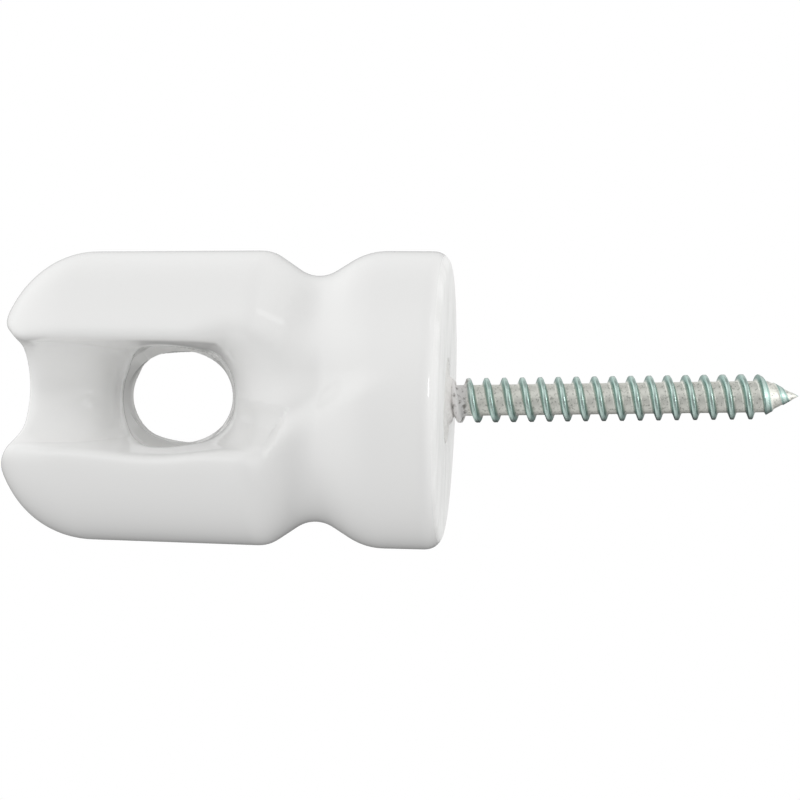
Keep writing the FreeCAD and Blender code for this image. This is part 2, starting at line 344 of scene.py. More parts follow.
@dataclass(frozen=True)
class SurfaceNet:
    """Makes a quad mesh on the zero surface of a field."""

    low: tuple[float, float, float]
    high: tuple[float, float, float]
    cell: float
    rounds: int = 4

    def build(self, shape: Field) -> tuple[Array, Array]:
        """Sample the field, join its crossings, and settle the points on the surface.

        Args:
            shape: Signed distance, negative inside, for rows of points.

        Returns:
            Vertices and quads.
        """
        counts = [int(math.ceil((b - a) / self.cell)) + 1 for a, b in zip(self.low, self.high)]
        axes = [a + self.cell * np.arange(n) for a, n in zip(self.low, counts)]
        values = np.empty(counts)
        for i, x in enumerate(axes[0]):
            y, z = np.meshgrid(axes[1], axes[2], indexing="ij")
            rows = np.stack([np.full(y.size, x), y.ravel(), z.ravel()], axis=1)
            values[i] = shape(rows).reshape(y.shape)
        vertices, quads = self._net(values)
        vertices = np.array(self.low) + vertices * self.cell
        for _ in range(self.rounds):
            vertices = self._settled(shape, self._relaxed(vertices, quads))
        return self._settled(shape, vertices), quads

    @staticmethod
    def _net(values: Array) -> tuple[Array, Array]:
        """Put one vertex in each cell that the surface crosses, and join them.

        Args:
            values: The field on the grid's points.

        Returns:
            Vertices in cells, and quads that face outwards.
        """
        inside = values < 0
        cells = tuple(n - 1 for n in values.shape)
        corners = [np.array((i, j, k)) for i in (0, 1) for j in (0, 1) for k in (0, 1)]
        held = sum(inside[tuple(slice(c, c + n) for c, n in zip(corner, cells))].astype(np.int8)
                   for corner in corners)
        active = (held > 0) & (held < len(corners))
        places = np.argwhere(active)
        number = np.full(cells, -1, np.int64)
        number[active] = np.arange(len(places))
        total, crossings = np.zeros((len(places), 3)), np.zeros(len(places))
        edges = [(start, start + way) for start in corners for way in np.eye(3, dtype=int) if not start @ way]
        for start, end in edges:
            a = values[tuple((places + start).T)]
            b = values[tuple((places + end).T)]
            crossed = (a < 0) != (b < 0)
            t = np.where(crossed, a / np.where(crossed, a - b, 1.0), 0.0)
            spot = start + t[:, None] * (end - start)
            total += np.where(crossed[:, None], spot, 0.0)
            crossings += crossed
        vertices = places + total / crossings[:, None]
        quads = []
        for axis in range(3):
            u, v = (axis + 1) % 3, (axis + 2) % 3
            first = tuple(slice(0, -1) if i == axis else slice(1, -1) for i in range(3))
            second = tuple(slice(1, None) if i == axis else slice(1, -1) for i in range(3))
            leaving = inside[first] & ~inside[second]
            entering = ~inside[first] & inside[second]
            for mask, flip in ((leaving, False), (entering, True)):
                at = np.argwhere(mask)
                at[:, u] += 1
                at[:, v] += 1
                ring = []
                for du, dv in ((1, 1), (0, 1), (0, 0), (1, 0)):
                    cell = at.copy()
                    cell[:, u] -= du
                    cell[:, v] -= dv
                    ring.append(number[tuple(cell.T)])
                quads.append(np.stack(ring[::-1] if flip else ring, axis=1))
        return vertices, np.concatenate(quads)

    @staticmethod
    def _relaxed(vertices: Array, quads: Array) -> Array:
        """Move each vertex half way to the middle of its neighbours.

        Args:
            vertices: The mesh's points.
            quads: Its faces.

        Returns:
            The moved points.
        """
        total, count = np.zeros_like(vertices), np.zeros(len(vertices))
        for a, b in ((0, 1), (1, 2), (2, 3), (3, 0)):
            for start, end in ((quads[:, a], quads[:, b]), (quads[:, b], quads[:, a])):
                for axis in range(3):
                    total[:, axis] += np.bincount(start, vertices[end, axis], len(vertices))
                count += np.bincount(start, minlength=len(vertices))
        return 0.5 * vertices + 0.5 * total / count[:, None]

    @staticmethod
    def _settled(shape: Field, vertices: Array) -> Array:
        """Slide each vertex along the field's slope onto the zero surface.

        Args:
            shape: Signed distance for rows of points.
            vertices: The mesh's points.

        Returns:
            The moved points.
        """
        slope = gradient(shape, vertices)
        steepness = np.maximum((slope ** 2).sum(axis=1), 1e-3)
        return vertices - slope * (shape(vertices) / steepness)[:, None]


def mesh_from(name: str, vertices: Array, faces: Array, material: bpy.types.Material,
              normals: Array | None = None, marks: dict[str, Array] | None = None) -> bpy.types.Object:
    """Make a smooth-shaded mesh object at the origin.

    Args:
        name: Name of the object.
        vertices: Points in millimetres.
        faces: Rows of vertex numbers.
        material: Finish of the whole mesh.
        normals: One normal for each vertex, or None to leave them to the faces.
        marks: Attribute name to one number for each vertex.

    Returns:
        The object, linked to the scene.
    """
    mesh = bpy.data.meshes.new(name)
    corners = faces.shape[1]
    mesh.vertices.add(len(vertices))
    mesh.vertices.foreach_set("co", (vertices * MM).astype(np.float32).ravel())
    mesh.loops.add(faces.size)
    mesh.loops.foreach_set("vertex_index", faces.astype(np.int32).ravel())
    mesh.polygons.add(len(faces))
    mesh.polygons.foreach_set("loop_start", np.arange(0, faces.size, corners, dtype=np.int32))
    mesh.update(calc_edges=True)
    mesh.validate()
    for mark, values in (marks or {}).items():
        mesh.attributes.new(mark, "FLOAT", "POINT").data.foreach_set("value", values.astype(np.float32))
    mesh.shade_smooth()
    if normals is not None:
        mesh.normals_split_custom_set_from_vertices(normals.tolist())
    mesh.materials.append(material)
    piece = bpy.data.objects.new(name, mesh)
    bpy.context.scene.collection.objects.link(piece)
    return piece


# ---------------------------------------------------------------- finishes

def new_finish(name: str) -> tuple[bpy.types.Material, bpy.types.NodeTree]:
    """Make a material with an empty node tree.

    Args:
        name: Name of the material.

    Returns:
        The material and its tree.
    """
    finish = bpy.data.materials.new(name)
    finish.use_nodes = True
    finish.node_tree.nodes.clear()
    return finish, finish.node_tree


@dataclass(frozen=True)
class GlazedPorcelain:
    """White feldspathic glaze on fired porcelain, dipped and fired once."""

    # The glaze gives the eye a hard, even gloss over a neutral white, with a stray iron
    # speck. The bare clay is matt and a shade duller, with drawn-out streaks of dust.
    glaze: str = "#F6F6F5"
    bare_clay: str = "#FBFBFA"
    dust: str = "#E3E3E1"
    speck: str = "#A8A296"
    speck_mm: float = 0.17
    speck_apart_mm: float = 9.0
    speck_share: float = 0.38        # how many of the specks show
    speck_strength: float = 0.75
    streak_mm: float = 2.5
    streak_stretch: float = 0.3      # scale along the streaks
    streak_levels: tuple[float, float] = (0.42, 0.68)
    streak_strength: float = 0.45
    grain_mm: float = 0.35
    grain_depth_mm: float = 0.06
    gloss_roughness: float = 0.09
    bare_roughness: float = 0.62
    glaze_ior: float = 1.52

    def material(self) -> bpy.types.Material:
        """Build the material, with the bare clay where the mesh's mark says so.

        Returns:
            The material.
        """
        finish, tree = new_finish("glazed_porcelain")
        place = add_node(tree, "ShaderNodeTexCoord").outputs["Object"]
        bare = add_node(tree, "ShaderNodeAttribute", attribute_name="bare").outputs["Fac"]
        grain = add_node(tree, "ShaderNodeTexNoise", {
            "Vector": place, "Scale": 1 / (self.grain_mm * MM), "Detail": 3.0})
        drawn = add_node(tree, "ShaderNodeMapping", {"Vector": place, "Scale": (1.0, 1.0, self.streak_stretch)})
        cloud = add_node(tree, "ShaderNodeTexNoise", {
            "Vector": drawn.outputs["Vector"], "Scale": 1 / (self.streak_mm * MM), "Detail": 4.0})
        streaks = add_node(tree, "ShaderNodeMapRange", {
            "Value": cloud.outputs["Fac"], "From Min": self.streak_levels[0], "From Max": self.streak_levels[1],
            "To Max": self.streak_strength})
        clay = add_node(tree, "ShaderNodeMix", {
            "Factor": streaks.outputs["Result"], "A": linear(self.bare_clay), "B": linear(self.dust)},
            data_type="RGBA")
        cells = add_node(tree, "ShaderNodeTexVoronoi", {"Vector": place, "Scale": 1 / (self.speck_apart_mm * MM)})
        spot = add_node(tree, "ShaderNodeMapRange", {
            "Value": cells.outputs["Distance"], "From Min": 1.5 * self.speck_mm / self.speck_apart_mm,
            "From Max": 0.7 * self.speck_mm / self.speck_apart_mm, "To Max": self.speck_strength})
        chance = add_node(tree, "ShaderNodeSeparateColor", {0: cells.outputs["Color"]}).outputs["Red"]
        kept = add_node(tree, "ShaderNodeMath", {0: chance, 1: 1.0 - self.speck_share}, operation="GREATER_THAN")
        specked = add_node(tree, "ShaderNodeMath", {0: spot.outputs["Result"], 1: kept.outputs[0]},
                           operation="MULTIPLY")
        glaze = add_node(tree, "ShaderNodeMix", {
            "Factor": specked.outputs[0], "A": linear(self.glaze), "B": linear(self.speck)}, data_type="RGBA")
        colour = add_node(tree, "ShaderNodeMix", {
            "Factor": bare, "A": glaze.outputs["Result"], "B": clay.outputs["Result"]}, data_type="RGBA")
        rough = add_node(tree, "ShaderNodeMapRange", {
            "Value": bare, "To Min": self.gloss_roughness, "To Max": self.bare_roughness})
        depth = add_node(tree, "ShaderNodeMath", {0: bare, 1: self.grain_depth_mm * MM}, operation="MULTIPLY")
        pitted = add_node(tree, "ShaderNodeBump", {
            "Height": grain.outputs["Fac"], "Distance": depth.outputs[0], "Strength": 1.0})
        shader = add_node(tree, "ShaderNodeBsdfPrincipled", {
            "Base Color": colour.outputs["Result"], "Roughness": rough.outputs["Result"],
            "Normal": pitted.outputs["Normal"], "IOR": self.glaze_ior})
        add_node(tree, "ShaderNodeOutputMaterial", {"Surface": shader.outputs["BSDF"]})
        return finish


@dataclass(frozen=True)
class ZincPlate:
    """Zinc electroplate on rolled steel, passivated blue-green."""

    # The eye gets teal, half-bright turns with a paler top that is a painted highlight, between
    # dull grey-beige roots full of flecks, and a pale smear of grout by the base whose pits are
    # darkened with painted shade.
    crest: str = "#9DB9B2"
    # The paler colour on the crest's top is a painted highlight.
    crest_painted_highlight: str = "#C4DAD3"
    root: str = "#EBEBE4"
    fleck: str = "#A6A9A1"
    fleck_mm: float = 0.35
    fleck_depth_mm: float = 0.02
    fleck_levels: tuple[float, float] = (0.54, 0.70)
    fleck_strength: float = 0.75
    flank: tuple[float, float] = (0.05, 0.45)        # heights on the ridge, from root to top
    # Where on the ridge the painted highlight lies, from its start to the top.
    painted_highlight_top: tuple[float, float] = (0.93, 1.0)
    residue: str = "#E8E6E5"
    # The pits' dark colour is painted shade.
    pit_painted_shade: str = "#8A8884"
    pit_mm: float = 0.8
    pit_levels: tuple[float, float] = (0.52, 0.66)
    residue_to_mm: float = 3.1       # how far up the screw the grout has smeared
    residue_fade_mm: float = 0.7
    ragged_mm: float = 0.9
    ragged_every_mm: float = 1.2
    root_roughness: float = 0.50
    crest_roughness: float = 0.24

    def material(self) -> bpy.types.Material:
        """Build the material, with smeared grout where the screw leaves the base.

        Returns:
            The material.
        """
        finish, tree = new_finish("zinc_plated_steel")
        place = add_node(tree, "ShaderNodeTexCoord").outputs["Object"]
        ridge = add_node(tree, "ShaderNodeAttribute", attribute_name="ridge").outputs["Fac"]
        fine = add_node(tree, "ShaderNodeTexNoise", {"Vector": place, "Scale": 1 / (self.fleck_mm * MM)})
        flecked = add_node(tree, "ShaderNodeMapRange", {
            "Value": fine.outputs["Fac"], "From Min": self.fleck_levels[0], "From Max": self.fleck_levels[1],
            "To Max": self.fleck_strength})
        colour = add_node(tree, "ShaderNodeMix", {
            "Factor": flecked.outputs["Result"], "A": linear(self.root), "B": linear(self.fleck)},
            data_type="RGBA")
        # From the root up: the plated flank, then the top, made paler as a painted highlight.
        for (low, high), shade in ((self.flank, self.crest), (self.painted_highlight_top, self.crest_painted_highlight)):
            up = add_node(tree, "ShaderNodeMapRange", {"Value": ridge, "From Min": low, "From Max": high})
            colour = add_node(tree, "ShaderNodeMix", {
                "Factor": up.outputs["Result"], "A": colour.outputs["Result"], "B": linear(shade)},
                data_type="RGBA")
        along = add_node(tree, "ShaderNodeSeparateXYZ", {0: place}).outputs["X"]
        coarse = add_node(tree, "ShaderNodeTexNoise", {"Vector": place, "Scale": 1 / (self.ragged_every_mm * MM)})
        ragged = add_node(tree, "ShaderNodeMath", {0: coarse.outputs["Fac"], 1: self.ragged_mm * MM, 2: along},
                          operation="MULTIPLY_ADD")
        smeared = add_node(tree, "ShaderNodeMapRange", {
            "Value": ragged.outputs[0], "From Min": (self.residue_to_mm + self.residue_fade_mm) * MM,
            "From Max": self.residue_to_mm * MM}).outputs["Result"]
        lumpy = add_node(tree, "ShaderNodeTexNoise", {
            "Vector": place, "Scale": 1 / (self.pit_mm * MM), "Detail": 4.0})
        pitted = add_node(tree, "ShaderNodeMapRange", {
            "Value": lumpy.outputs["Fac"], "From Min": self.pit_levels[0], "From Max": self.pit_levels[1]})
        # Dark patches painted as the shade in the grout's pits.
        grout = add_node(tree, "ShaderNodeMix", {
            "Factor": pitted.outputs["Result"], "A": linear(self.residue), "B": linear(self.pit_painted_shade)},
            data_type="RGBA")
        colour = add_node(tree, "ShaderNodeMix", {
            "Factor": smeared, "A": colour.outputs["Result"], "B": grout.outputs["Result"]}, data_type="RGBA")
        rough = add_node(tree, "ShaderNodeMapRange", {
            "Value": ridge, "To Min": self.root_roughness, "To Max": self.crest_roughness})
        rougher = add_node(tree, "ShaderNodeMath", {0: smeared, 1: rough.outputs["Result"]}, operation="MAXIMUM")
        metal = add_node(tree, "ShaderNodeMath", {0: 1.0, 1: smeared}, operation="SUBTRACT")
        relief = add_node(tree, "ShaderNodeBump", {
            "Height": flecked.outputs["Result"], "Distance": self.fleck_depth_mm * MM}, invert=True)
        shader = add_node(tree, "ShaderNodeBsdfPrincipled", {
            "Base Color": colour.outputs["Result"], "Metallic": metal.outputs[0],
            "Roughness": rougher.outputs[0], "Normal": relief.outputs["Normal"]})
        add_node(tree, "ShaderNodeOutputMaterial", {"Surface": shader.outputs["BSDF"]})
        return finish


@dataclass(frozen=True)
class CementGrout:
    """Neat cement, cast in the socket and wiped at the face."""

    # The eye gets a matt, pale paste with fine grit and no shine.
    paste: str = "#F6F5F3"
    shade: str = "#DDDBD8"
    grit_mm: float = 0.5
    grit_depth_mm: float = 0.12
    roughness: float = 0.85

    def material(self) -> bpy.types.Material:
        """Build the material.

        Returns:
            The material.
        """
        finish, tree = new_finish("cast_cement_grout")
        place = add_node(tree, "ShaderNodeTexCoord").outputs["Object"]
        grit = add_node(tree, "ShaderNodeTexNoise", {
            "Vector": place, "Scale": 1 / (self.grit_mm * MM), "Detail": 5.0})
        colour = add_node(tree, "ShaderNodeMix", {
            "Factor": grit.outputs["Fac"], "A": linear(self.shade), "B": linear(self.paste)}, data_type="RGBA")
        relief = add_node(tree, "ShaderNodeBump", {
            "Height": grit.outputs["Fac"], "Distance": self.grit_depth_mm * MM})
        shader = add_node(tree, "ShaderNodeBsdfPrincipled", {
            "Base Color": colour.outputs["Result"], "Roughness": self.roughness,
            "Normal": relief.outputs["Normal"]})
        add_node(tree, "ShaderNodeOutputMaterial", {"Surface": shader.outputs["BSDF"]})
        return finish


# ---------------------------------------------------------------- porcelain

Zone = tuple[float, float]           # where a feature is absent, and where it is whole


@dataclass(frozen=True)
class Scoop:
    """The second, shallow scoop in the lower half of a rise, with a crisp edge."""

    crest_at: tuple[float, float] = (-26.3, -0.2)    # a point of its upper edge, along and up
    crest_slope: float = -0.165
    end_at: tuple[float, float] = (-20.0, -1.3)
    end_slope: float = 0.378
    crest_wall: float = 0.38         # how fast it deepens below the upper edge
    end_wall: float = 0.9
    depth: float = 1.3
    zone: Zone = (-29.0, -25.5)

    def depth_at(self, x: Array, z: Array) -> Array:
        """Work out how deep the scoop is.

        Args:
            x: Places along the body.
            z: Heights across the channel.

        Returns:
            One depth for each place.
        """
        crest = self.crest_at[1] + self.crest_slope * (x - self.crest_at[0])
        end = self.end_at[0] + self.end_slope * (z - self.end_at[1])
        depth = np.maximum(np.minimum(self.crest_wall * (crest - z), self.end_wall * (end - x)), 0.0)
        return np.minimum(depth, self.depth) * smooth_step(*self.zone, x)


@dataclass
class PorcelainBody:
    """The one-piece porcelain: base, waist, slotted head, cross hole and socket."""

    outline: tuple[Corner, ...] = (
        Corner(0.0, 0.0),
        Corner(0.0, 21.2, 2.25),
        Corner(-11.2, 21.2, 9.2),
        Corner(-18.6, 16.65, 5.1),
        Corner(-25.3, 21.2, 4.1),
        Corner(-63.1, 20.8, 12.3),
        Corner(-63.1, 0.0),
    )
    head_tilt: float = 0.02          # slopes of the two ends
    head_zone: Zone = (-46.0, -62.0)
    seat_tilt: float = 0.018
    seat_zone: Zone = (-12.0, -2.0)
    upper_width: float = 7.6         # from the axis to a channel's upper wall
    lower_width: float = 7.1
    upper_lean: float = 0.11         # how fast the walls close in towards the web
    lower_lean: float = 0.16
    lip_at: float = 19.0             # how far out the lips are
    dip: float = 1.0                 # how far the lower lip gives way beside the hole
    dip_reach: float = 7.5
    floor: float = 3.1               # half thickness of the web
    bar_end: float = -58.6
    bar_half_depth: float = 9.2
    bar_foot: float = -47.9
    rise_foot: float = -29.9
    rise_top: tuple[float, float] = (-16.2, 17.3)
    rise_zone: Zone = (-34.0, -26.0)
    run_out: float = -15.0           # where the lower wall's foot reaches the axis
    run_out_slope: float = 0.65
    run_out_opening: float = 0.9
    run_out_blend: float = 1.2
    scoop: Scoop = Scoop()
    arc_flatness: float = 0.9        # the bar's foot and the trough, against a true circle
    arc_ahead: Zone = (-3.0, -6.5)   # from the hole's middle
    arc_on_bar: Zone = (-58.0, -50.0)
    trough_depth: float = 0.85
    trough_width: float = 1.0
    trough_along: Zone = (-38.0, -43.0)
    trough_across: Zone = (7.0, 4.5)
    upper_cove: float = 3.8
    upper_cove_more: tuple[float, float] = (2.6, 2.7)     # extra on the bar and on the rise
    lower_cove: float = 4.2
    lower_cove_more: tuple[float, float] = (2.3, -2.4)    # extra on the bar and near the waist
    bar_zone: Zone = (-44.5, -50.5)
    waist_zone: Zone = (-25.0, -20.5)
    lip_radius: float = 2.0
    melt: tuple[float, float] = (1.0, 2.0)                # rounder lips on the rise, and above the axis
    melt_zone: Zone = (-1.0, 4.0)
    notch_flare: tuple[float, float] = (0.62, 0.58)       # below and above the axis
    notch_radius: tuple[float, float] = (3.2, 1.2)
    notch_lip: float = 1.7
    hole_x: float = -38.8
    hole_half_height: float = 6.6
    hole_half_length: float = 7.95
    hole_flare: float = 0.45
    flare_to: float = 3.3            # the flare ends a little outside the web
    hole_closing: float = 0.2        # and past the web's cove the cut closes again
    closing_from: float = 5.0
    rim_radius: float = 0.55
    rim_more: float = 1.3
    rim_along: Zone = (-36.0, -31.0)
    rim_above: Zone = (3.0, 6.0)
    rim_above_share: float = 0.8
    bead_height: float = 0.38
    bead_width: float = 0.55
    bead_above: tuple[Zone, Zone] = ((3.0, 5.5), (-30.0, -33.0))
    bead_beside: Zone = (-43.0, -45.5)
    bead_beside_share: float = 0.75
    pimple: tuple[float, float] = (-50.2, -0.9)
    pimple_height: float = 0.4
    pimple_width: float = 0.7
    seat_bare: tuple[Zone, Zone] = ((-1.0, -0.3), (0.5, 0.85))          # places, and how square they face
    wall_bare: tuple[Zone, Zone] = ((0.8, 0.3), (3.3, 2.7))             # into the hole, and to the side
    bare_above: Zone = (2.5, 5.0)
    bare_between: tuple[Zone, Zone] = ((-31.5, -35.0), (-45.0, -41.5))
    ragged: float = 0.3
    ragged_size: float = 2.0
    socket_radius: float = 6.0
    socket_depth: float = 23.0
    low: tuple[float, float, float] = (-64.7, -22.0, -22.0)
    high: tuple[float, float, float] = (1.0, 22.0, 22.0)
    cell: float = 0.44
    body: DistanceTable = field(init=False)
    plan: DistanceTable = field(init=False)

    def __post_init__(self) -> None:
        """Table the turned outline and the channels' plan."""
        outline = rounded_outline(self.outline)
        self.body = DistanceTable(outline, outline, blur=0.35)
        far = 90.0
        bar = crown_points((self.bar_end, self.bar_half_depth), (self.bar_foot, self.floor))
        rise = crown_points(self.rise_top, (self.rise_foot, self.floor))[::-1]
        away = np.array(self.rise_top) + 30.0
        plan = np.concatenate([[(-far, self.bar_half_depth)], bar, rise, [away]])
        loop = np.concatenate([plan, [(far, away[1]), (far, far), (-far, far)]])
        self.plan = DistanceTable(plan, loop, blur=0.45)

    def _floor(self, x: Array, side: Array, z: Array) -> Array:
        """Measure how far points are from a channel's floor, as if it had no walls.

        Args:
            x: Places along the body.
            side: Distances from the middle plane.
            z: Heights across the channel.

        Returns:
            Signed distances, negative outside the floor.
        """
        # The bar's foot goes round the hole in an arc.
        around = np.hypot(x - self.hole_x, self.arc_flatness * z)
        ahead = smooth_step(self.hole_x + self.arc_ahead[0], self.hole_x + self.arc_ahead[1], x)
        near_foot = ahead * smooth_step(*self.arc_on_bar, x)
        floor = self.plan.at(x - (around - np.abs(x - self.hole_x)) * near_foot, side)
        # A trough runs round the hole, outside its rim.
        ring = around + self.bar_foot - self.hole_x
        beside = smooth_step(*self.trough_along, x) * smooth_step(*self.trough_across, np.abs(z))
        floor = floor - self.trough_depth * np.exp(-(ring / self.trough_width) ** 2) * beside
        return floor - self.scoop.depth_at(x, z)

    def _channel(self, x: Array, side: Array, z: Array) -> Array:
        """Measure how far points are from a channel's air.

        Args:
            x: Places along the body.
            side: Distances from the middle plane.
            z: Heights across the channel.

        Returns:
            Signed distances, negative in the air.
        """
        floor = self._floor(x, side, z)
        inward = np.maximum(self.lip_at - side, 0.0)
        upper = z - self.upper_width + self.upper_lean * inward
        dip = self.dip * np.exp(-((x - self.hole_x) / self.dip_reach) ** 2)
        lower_width = self.lower_width + dip - self.lower_lean * inward
        # Towards the waist the lower wall leans open and runs to the axis.
        leaning = self.run_out_slope * (self.run_out - x) + self.run_out_opening * np.maximum(-floor, 0.0)
        lower = soft_max(-lower_width, -leaning, self.run_out_blend) - z
        # Beside the bar the channel is nearly a half round; past the hole its coves are tighter.
        on_bar, rise = smooth_step(*self.bar_zone, x), smooth_step(*self.rise_zone, x)
        upper_cove = self.upper_cove + self.upper_cove_more[0] * on_bar + self.upper_cove_more[1] * rise
        near_waist = smooth_step(*self.waist_zone, x)
        lower_cove = self.lower_cove + self.lower_cove_more[0] * on_bar + self.lower_cove_more[1] * near_waist
        return round_max(round_max(floor, upper, upper_cove), lower, lower_cove)

    def _hole(self, x: Array, side: Array, z: Array) -> Array:
        """Measure how far points are from the cross hole's air, which flares to both faces.

        Args:
            x: Places along the body.
            side: Distances from the middle plane.
            z: Heights across the channel.

        Returns:
            Signed distances, negative in the hole.
        """
        flared = self.hole_half_height + self.hole_flare * np.minimum(side, self.flare_to)
        half_height = flared - self.hole_closing * np.maximum(side - self.closing_from, 0.0)
        return (np.hypot((x - self.hole_x) / self.hole_half_length, z / half_height) - 1.0) * half_height

    def distance(self, points: Array) -> Array:
        """Measure how far points are from the porcelain's surface.

        Args:
            points: Rows of points in millimetres.

        Returns:
            Signed distances, negative in the porcelain.
        """
        x, y, z = points.T
        side, out = np.abs(y), np.hypot(y, z)
        tilt = z * (self.head_tilt * smooth_step(*self.head_zone, x)
                    + self.seat_tilt * smooth_step(*self.seat_zone, x))
        solid = self.body.at(x - tilt, out)
        channel, hole = self._channel(x, side, z), self._hole(x, side, z)
        # One pimple in the glaze, on the front of the bar.
        from_pimple = (x - self.pimple[0]) ** 2 + (z - self.pimple[1]) ** 2
        pimple = np.exp(-from_pimple / self.pimple_width ** 2)
        channel = channel + np.where(y < 0.0, self.pimple_height, 0.0) * pimple
        # The hole's rim is rounder above and towards the rise.
        rounder = np.maximum(smooth_step(*self.rim_along, x), self.rim_above_share * smooth_step(*self.rim_above, z))
        cut = soft_max(-channel, -hole, self.rim_radius + self.rim_more * rounder)
        # Glaze gathers in a thin bead along the hole's rim, above it and towards the bar.
        bead = np.exp(-(channel ** 2 + hole ** 2) / self.bead_width ** 2)
        above = smooth_step(*self.bead_above[0], z) * smooth_step(*self.bead_above[1], x)
        beside = self.bead_beside_share * smooth_step(*self.bead_beside, x)
        cut = cut - self.bead_height * bead * np.maximum(above, beside)
        # The channels' lips melt more on the rise, most of all above the axis.
        melt = smooth_step(*self.rise_zone, x) * (self.melt[0] + self.melt[1] * smooth_step(*self.melt_zone, z))
        solid = soft_max(solid, cut, self.lip_radius + melt)
        past = self.bar_end - x + tilt
        flare = np.where(z > 0, self.notch_flare[1], self.notch_flare[0]) * np.maximum(past, 0.0)
        gap = np.where(z > 0, self.upper_width, self.lower_width)
        corner = np.where(z > 0, self.notch_radius[1], self.notch_radius[0])
        solid = soft_max(solid, -round_max(-past, np.abs(z) - gap - flare, corner), self.notch_lip)
        socket = np.maximum(out - self.socket_radius, -self.socket_depth - x)
        return np.maximum(solid, -socket)

    def bareness(self, points: Array, normals: Array) -> Array:
        """Mark where the clay is unglazed: the seating face, and the top of the hole's wall.

        Args:
            points: Rows of points in millimetres.
            normals: The surface's normal at each point.

        Returns:
            One mark for each point, from 0 in the glaze to 1 on bare clay.
        """
        x, y, z = points.T
        seat = smooth_step(*self.seat_bare[0], x) * smooth_step(*self.seat_bare[1], normals[:, 0])
        side = np.abs(y)
        ragged = self.ragged * lumps(points, self.ragged_size, seed=8)
        wall = smooth_step(*self.wall_bare[0], self._hole(x, side, z))
        wall = wall * smooth_step(*self.wall_bare[1], side + ragged)
        between = smooth_step(*self.bare_between[0], x) * smooth_step(*self.bare_between[1], x)
        top = smooth_step(*self.bare_above, z) * between
        return np.maximum(seat, wall * top)

    def build(self, finish: GlazedPorcelain) -> bpy.types.Object:
        """Mesh the porcelain and dress it.

        Args:
            finish: What it is dressed in.

        Returns:
            The piece.
        """
        net = SurfaceNet(self.low, self.high, self.cell)
        vertices, quads = net.build(self.distance)
        slope = gradient(self.distance, vertices)
        normals = slope / np.linalg.norm(slope, axis=1, keepdims=True)
        marks = {"bare": self.bareness(vertices, normals)}
        piece = mesh_from("glazed_body", vertices, quads, finish.material(), normals, marks)
        LOG.info("glazed_body: %d quads", len(quads))
        return piece


# ---------------------------------------------------------------- screw

